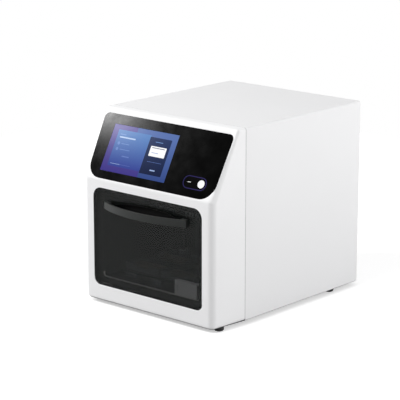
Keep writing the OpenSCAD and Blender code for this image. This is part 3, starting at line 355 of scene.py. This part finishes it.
# foam strip in the seam between bezel and cover
gasket = {"inset": 0.2, "depth": 1.4, "lap": 0.05, "width": 0.7, "corner": 5, "low": 1.6}
paths = []
for inset in (gasket["inset"], gasket["inset"] + gasket["depth"]):
    half, top, r = body["width"] / 2 - inset, body["height"] - inset, gasket["corner"] - inset
    path = [(half, gasket["low"])] + cornerArc(half - r, top - r, r, 0)
    paths.append(path + [(-x, z) for x, z in reversed(path)])
front = body["seamDepth"] - gasket["lap"]
addStrip(paths, (front, front + gasket["width"]), "seam-gasket", "foam")
print("housing shells done")

# black glass panel with a ground edge
panel = {"edge": 0.35}
softCopy("control_panel", "panel", [(panel["edge"], 3, anywhere)])

# smoked door: polished edges all round, and the recess behind the handle
door = {"edge": 0.9, "front": 0.5, "back": 8.5}
softCopy("door_panel", "door", [
    (door["edge"], 3, lambda p: abs(p.y - door["front"]) < flush or abs(p.y - door["back"]) < flush),
])
handle = {"edge": 1.1, "front": 0.3}
softCopy("door_handle", "handle", [(handle["edge"], 3, lambda p: p.y < handle["front"])])
cup = {"edge": 0.3}
softCopy("handle_cup", "cup", [(cup["edge"], 2, lambda p: abs(p.y - door["front"]) < flush)])
print("door done")

# power control
control = {"buttonEdge": 0.3, "ringEdge": 0.12}
softCopy("power_button", "buttonLight", [(control["buttonEdge"], 2, anywhere)])
softCopy("button_ring", "ringLight", [(control["ringEdge"], 2, anywhere)])

# rear panel and small mouldings
for node, finish, width in [
    ("rear_panel", "cover", 0.2), ("base_plate", "base", 0.2), ("power_inlet", "blackPlastic", 0.4),
    ("switch_body", "blackPlastic", 0.3), ("mains_rocker", "blackPlastic", 0.4),
    ("network_port", "zinc", 0.15), ("usb_ports", "zinc", 0.15),
    ("fan_frame", "blackPlastic", 0.3), ("plate_nests", "nest", 0.5),
    ("heating_blocks", "heater", 0.3), ("plate_tray", "darkPlate", 0.4), ("sleeve_plate", "darkPlate", 0.4),
    ("magnet_plate", "darkPlate", 0.4), ("interlock_box", "greyPlastic", 0.6), ("uv_sockets", "socket", 0.5),
    ("rail_carriages", "carriage", 0.4), ("tray_motor", "motor", 0.3), ("lift_motors", "motor", 0.4),
]:
    softCopy(node, finish, [(width, 2, anywhere)])

# flange round the chamber's mouth: coated like the liner, with the cut edge left bare
mouth = {"edge": 0.5, "half": 133, "low": 49, "rimTop": 58}
flange = softCopy("chamber_mouth", "liner", [(mouth["edge"], 2, anywhere)])
flange.data.materials.append(finishes["floorSheet"])
for face in flange.data.polygons:
    at = fromFrame @ face.center
    if abs(face.normal.y) < 0.9 and abs(at.x) < mouth["half"] and mouth["low"] < at.z < mouth["rimTop"]:
        face.material_index = 1

# light edging clipped on the mouth's sill, turned up at both corners
sill = {"half": 131.8, "low": 49.5, "height": 1.5, "corner": 6, "rise": 5, "depths": (11, 14.2)}
paths = []
for inset in (0, sill["height"]):
    half, low, r = sill["half"] - inset, sill["low"] + inset, sill["corner"] - inset
    path = cornerArc(half - r, low + r, r, -math.pi / 2) + [(half, low + r + sill["rise"])]
    paths.append([(-x, z) for x, z in reversed(path)] + path)
addStrip(paths, sill["depths"], "sill-edging", "socket")
print("small mouldings and plates done")


def tile(bm, x0, s0, x1, s1, radius, level, rise):
    # one flat mark with round corners, on the slant
    size = Matrix.Diagonal((x1 - x0, s1 - s0, rise, 1))
    place = Matrix.Translation(((x0 + x1) / 2, (s0 + s1) / 2, level + rise / 2))
    made = bmesh.ops.create_cube(bm, size=1, matrix=place @ size)
    corners = [e for e in {e for v in made["verts"] for e in v.link_edges}
               if abs(e.verts[0].co.z - e.verts[1].co.z) > rise / 2]
    if radius:
        bmesh.ops.bevel(bm, geom=corners, offset=radius, offset_type="OFFSET", segments=5, profile=0.5,
                        affect="EDGES", clamp_overlap=True, material=-1)


# picture on the display: fields, cards and plain marks, each a hair above the one below
screen = {
    "level": 0.302, "step": 0.018,
    "marks": [
        # finish, x0, s0, x1, s1, radius, layer
        ("screenBlue", -137, 20.5, 39, 120, 0, 1),
        ("screenViolet", -137, 20.5, -34, 120, 0, 2),
        ("screenBlue", -72, 109, -34, 120, 0, 3),
        ("screenCard", -122, 33, -31, 110, 1.5, 4),
        ("screenNavy", -33, 30, 25, 107, 1.5, 5),
        ("screenSoft", -114, 100, -98, 101.6, 0.8, 6),
        ("screenPale", -114, 93.5, -70, 96.4, 1.3, 6),
        ("screenSoft", -104, 81, -82, 82.6, 0.8, 6),
        ("screenSoft", -104, 69, -76, 70.6, 0.8, 6),
        ("screenSoft", -92, 55, -72, 57.4, 1.1, 6),
        ("screenSoft", -116, 38, -62, 38.8, 0.3, 6),
        ("screenPale", -116, 38, -90, 38.8, 0.3, 7),
        ("screenSoft", -16, 97.5, 4, 98.7, 0.5, 6),
        ("screenWhite", -24, 68, 18, 89, 1.4, 6),
        ("screenNavy", -20, 85, 14, 86.4, 0.5, 7),
        ("screenSoft", -18, 75, 0, 76, 0.4, 7),
        ("screenSoft", -22, 56, 16, 56.6, 0.2, 6),
        ("screenPale", -8, 38.5, 6, 41, 1.1, 6),
    ],
    "dots": {"x": -111, "heights": [81.8, 69.8], "radius": 3.4, "layer": 6},
}
byFinish = {}
for finish, x0, s0, x1, s1, radius, layer in screen["marks"]:
    if finish not in byFinish:
        byFinish[finish] = bmesh.new()
    tile(byFinish[finish], x0, s0, x1, s1, radius, screen["level"], screen["step"] * layer)
dots = screen["dots"]
rise = screen["step"] * dots["layer"]
for s in dots["heights"]:
    place = Matrix.Translation((dots["x"], s, screen["level"] + rise / 2))
    bmesh.ops.create_cone(byFinish["screenSoft"], cap_ends=True, segments=24, radius1=dots["radius"],
                          radius2=dots["radius"], depth=rise, matrix=place)
for finish, bm in byFinish.items():
    addPiece(bm, "screen-" + finish[6:].lower(), finish, "housing", matrix=toSlant)
print("screen picture done")

# short printed mark beside the power button
mark = {"place": (96.5, 32.5, 105.5, 33.6), "radius": 0.5, "level": 0.4, "rise": 0.05}
bm = bmesh.new()
tile(bm, *mark["place"], mark["radius"], mark["level"], mark["rise"])
addPiece(bm, "power-mark", "greyPlastic", "housing", matrix=toSlant)


def spinProfile(bm, points, segments=40):
    # profile of radius and height turned about z
    verts = [bm.verts.new((r, 0, z)) for r, z in points]
    edges = [bm.edges.new(pair) for pair in zip(verts, verts[1:])]
    bmesh.ops.spin(bm, geom=verts + edges, cent=(0, 0, 0), axis=(0, 0, 1), angle=2 * math.pi, steps=segments,
                   use_merge=True)


def joinInto(whole, one):
    # one finished copy goes into the mesh that holds them all
    mesh = bpy.data.meshes.new("oneCopy")
    one.to_mesh(mesh)
    one.free()
    whole.from_mesh(mesh)
    bpy.data.meshes.remove(mesh)


# rubber feet: a chamfered puck with a groove and a hollow for its screw
foot = {"radius": 10, "height": 8, "x": 164, "y": [32, 385], "groove": 0.6}
feet = bmesh.new()
for sideSign in (-1, 1):
    for depth in foot["y"]:
        one = bmesh.new()
        r, h, g = foot["radius"], foot["height"], foot["groove"]
        spinProfile(one, [
            # top edge, groove, and the tapered side down to the sole
            (0, 0), (r - 0.8, 0), (r - 0.2, -0.3), (r, -0.9),
            (r, -2.6), (r - g, -3.0), (r - g, -3.6), (r, -4.0),
            (r - 0.2, -h + 2.2), (r - 1.9, -h + 0.3), (r - 2.5, -h),
            # hollow for the screw
            (5.2, -h), (4.6, -h + 0.4), (4.5, -h + 4), (0, -h + 4),
        ])
        bmesh.ops.translate(one, vec=(sideSign * foot["x"], depth, 0), verts=one.verts)
        joinInto(feet, one)
addPiece(feet, "rubber-feet", "foot", "housing", ("feet",))

# button-head screws with a hex socket, on the rear panel and the fan guard
screw = {
    "head": 3, "rise": 2, "socket": 1.15, "deep": 1.1, "shank": 1.5, "short": 5, "long": 12,
    "sides": {"x": 172, "heights": (30, 195.5, 361)}, "ends": {"x": 90, "heights": (8, 383)},
    "fan": {"x": -95, "z": 296, "face": 464, "pitch": 35},
}
places = [(m * row["x"], body["rearFace"], z, screw["short"])
          for row in (screw["sides"], screw["ends"]) for m in (-1, 1) for z in row["heights"]]
fan = screw["fan"]
places += [(fan["x"] + m * fan["pitch"], fan["face"], fan["z"] + n * fan["pitch"], screw["long"])
           for m in (-1, 1) for n in (-1, 1)]
screws = bmesh.new()
for x, y, z, length in places:
    one = bmesh.new()
    spinProfile(one, [
        (0, -length), (screw["shank"], -length), (screw["shank"], 0),
        (screw["head"], 0), (screw["head"], 0.6),
        (2.8, 1.2), (2.3, 1.7), (1.7, 1.95), (1.35, screw["rise"]),
    ], 24)
    rim = [e for e in one.edges if len(e.link_faces) == 1]
    hexRing = bmesh.ops.create_circle(one, cap_ends=False, segments=6, radius=screw["socket"],
                                      matrix=Matrix.Translation((0, 0, screw["rise"])))
    hexEdges = list({e for v in hexRing["verts"] for e in v.link_edges})
    bmesh.ops.bridge_loops(one, edges=rim + hexEdges)
    sunk = bmesh.ops.extrude_edge_only(one, edges=hexEdges)
    low = [g for g in sunk["geom"] if isinstance(g, bmesh.types.BMVert)]
    bmesh.ops.translate(one, vec=(0, 0, -screw["deep"]), verts=low)
    bmesh.ops.contextual_create(one, geom=[e for e in one.edges if all(v in low for v in e.verts)])
    turned = Matrix.Translation((x, y, z)) @ Matrix.Rotation(-math.pi / 2, 4, "X")
    bmesh.ops.transform(one, matrix=turned, verts=one.verts)
    joinInto(screws, one)
addPiece(screws, "case-screws", "zinc", "housing", ("case_screws",))
print("feet and screws done")

# solids whose shape is right take their finish as they are
plainNodes = {
    "display": "displayBlack", "display_frame": "zinc", "button_switch": "board", "catch_magnets": "motor",
    "door_seal": "seal", "chamber_liner": "liner", "chamber_floor": "darkPlate", "roof_plate": "liner",
    "uv_lamp": "lamp", "tray_rails": "railSteel",
    "tray_bearing": "carriage", "guide_rods": "rod", "rod_clamps": "carriage", "screw_bearings": "carriage",
    "power_supply": "zinc", "control_board": "board", "board_standoffs": "brass", "exhaust_filter": "filter",
    "fan_guard": "rod", "hinge_pins": "motor", "strike_plates": "motor", "tray_nut": "brass",
    "tray_screw": "railSteel",
    "magnet_rods": "carriage", "magnet_bushes": "carriage", "magnet_nut": "brass", "magnet_screw": "rod",
    "sleeve_bushes": "carriage", "sleeve_nut": "brass", "sleeve_screw": "rod", "fan_rotor": "blackPlastic",
}
for node, finish in plainNodes.items():
    for part in frame["nodes"][node].material_slots:
        part.material = finishes[finish]
print("finishes set on the carried-over solids")


# light tent: a bright floor, a soft high light for the slant and the roof, a small one that the panel mirrors
studio = {
    "worldDiffuse": 0.44, "floorSize": 1.5, "floorColour": 0.9, "floorBounce": 0.5, "floorGlow": 0.48,
    "sheen": {"place": (-2.146, -1.704, 1.783), "aim": (-0.17, -0.15, 0.39), "size": 0.17, "power": 30},
    "high": {"place": (-0.36, -2.0, 2.7), "aim": (0, 0, 0.2), "size": 1.2, "power": 40},
    "side": {"place": (2.75, 1.6, 0.5), "aim": (0, 0, 0.2), "size": 1.8, "power": 59},
}

def seenDirectly(shaded):
    # 1 for rays from the camera, from a mirror or through glass, 0 for those that light the part
    rays = addNode(shaded, "ShaderNodeLightPath", {}, {})
    either = addNode(shaded, "ShaderNodeMath", {"operation": "MAXIMUM"},
                     {0: rays.outputs["Is Camera Ray"], 1: rays.outputs["Is Glossy Ray"]})
    return addNode(shaded, "ShaderNodeMath", {"operation": "MAXIMUM"},
                   {0: either.outputs[0], 1: rays.outputs["Is Transmission Ray"]}).outputs[0]


floorMesh = bmesh.new()
bmesh.ops.create_grid(floorMesh, x_segments=1, y_segments=1, size=studio["floorSize"])
mesh = bpy.data.meshes.new("studioFloor")
floorMesh.to_mesh(mesh)
floorMesh.free()
floor = bpy.data.objects.new("studioFloor", mesh)
scene.collection.objects.link(floor)
floorFinish, surface, place = startFinish("white studio floor", {
    "Roughness": 0.9, "Specular IOR Level": 0, "Emission Color": [1, 1, 1, 1],
})
seen = seenDirectly(floorFinish)
glow = addNode(floorFinish, "ShaderNodeMath", {"operation": "MULTIPLY"}, {0: seen, 1: studio["floorGlow"]})
floorFinish.node_tree.links.new(glow.outputs[0], surface.inputs["Emission Strength"])
# seen directly it is near white, and it throws less light back at the part
tone = addNode(floorFinish, "ShaderNodeMix", {"data_type": "RGBA"}, {
    0: seen, 6: [studio["floorBounce"]] * 3 + [1], 7: [studio["floorColour"]] * 3 + [1],
})
floorFinish.node_tree.links.new(tone.outputs[2], surface.inputs["Base Color"])
mesh.materials.append(floorFinish)

world = bpy.data.worlds.new("studioWorld")
scene.world = world
world.use_nodes = True
sky = world.node_tree.nodes["Background"]
strength = addNode(world, "ShaderNodeMapRange", {},
                   {"Value": seenDirectly(world), "To Min": studio["worldDiffuse"], "To Max": 1.0})
sky.inputs["Color"].default_value = (1, 1, 1, 1)
world.node_tree.links.new(strength.outputs["Result"], sky.inputs["Strength"])


for name in ("sheen", "high", "side"):
    light = bpy.data.lights.new(name + "Light", "AREA")
    light.size = studio[name]["size"]
    light.energy = studio[name]["power"]
    holder = bpy.data.objects.new(name + "Light", light)
    holder.location = studio[name]["place"]
    line = Vector(studio[name]["aim"]) - Vector(studio[name]["place"])
    holder.rotation_euler = line.to_track_quat("-Z", "Y").to_euler()
    scene.collection.objects.link(holder)

# the photograph's viewpoint
shot = {"lens": 161.27, "place": (2.3622, -2.7203, 1.1087), "pitch": 75.87, "yaw": 41.58}
camera = bpy.data.cameras.new("photoCamera")
camera.lens = shot["lens"]
camera.sensor_width = 36
camera.clip_end = 100
view = bpy.data.objects.new("photoCamera", camera)
view.location = shot["place"]
view.rotation_euler = (math.radians(shot["pitch"]), 0, math.radians(shot["yaw"]))
scene.collection.objects.link(view)
scene.camera = view
scene.view_settings.view_transform = "Standard"
print("studio ready")
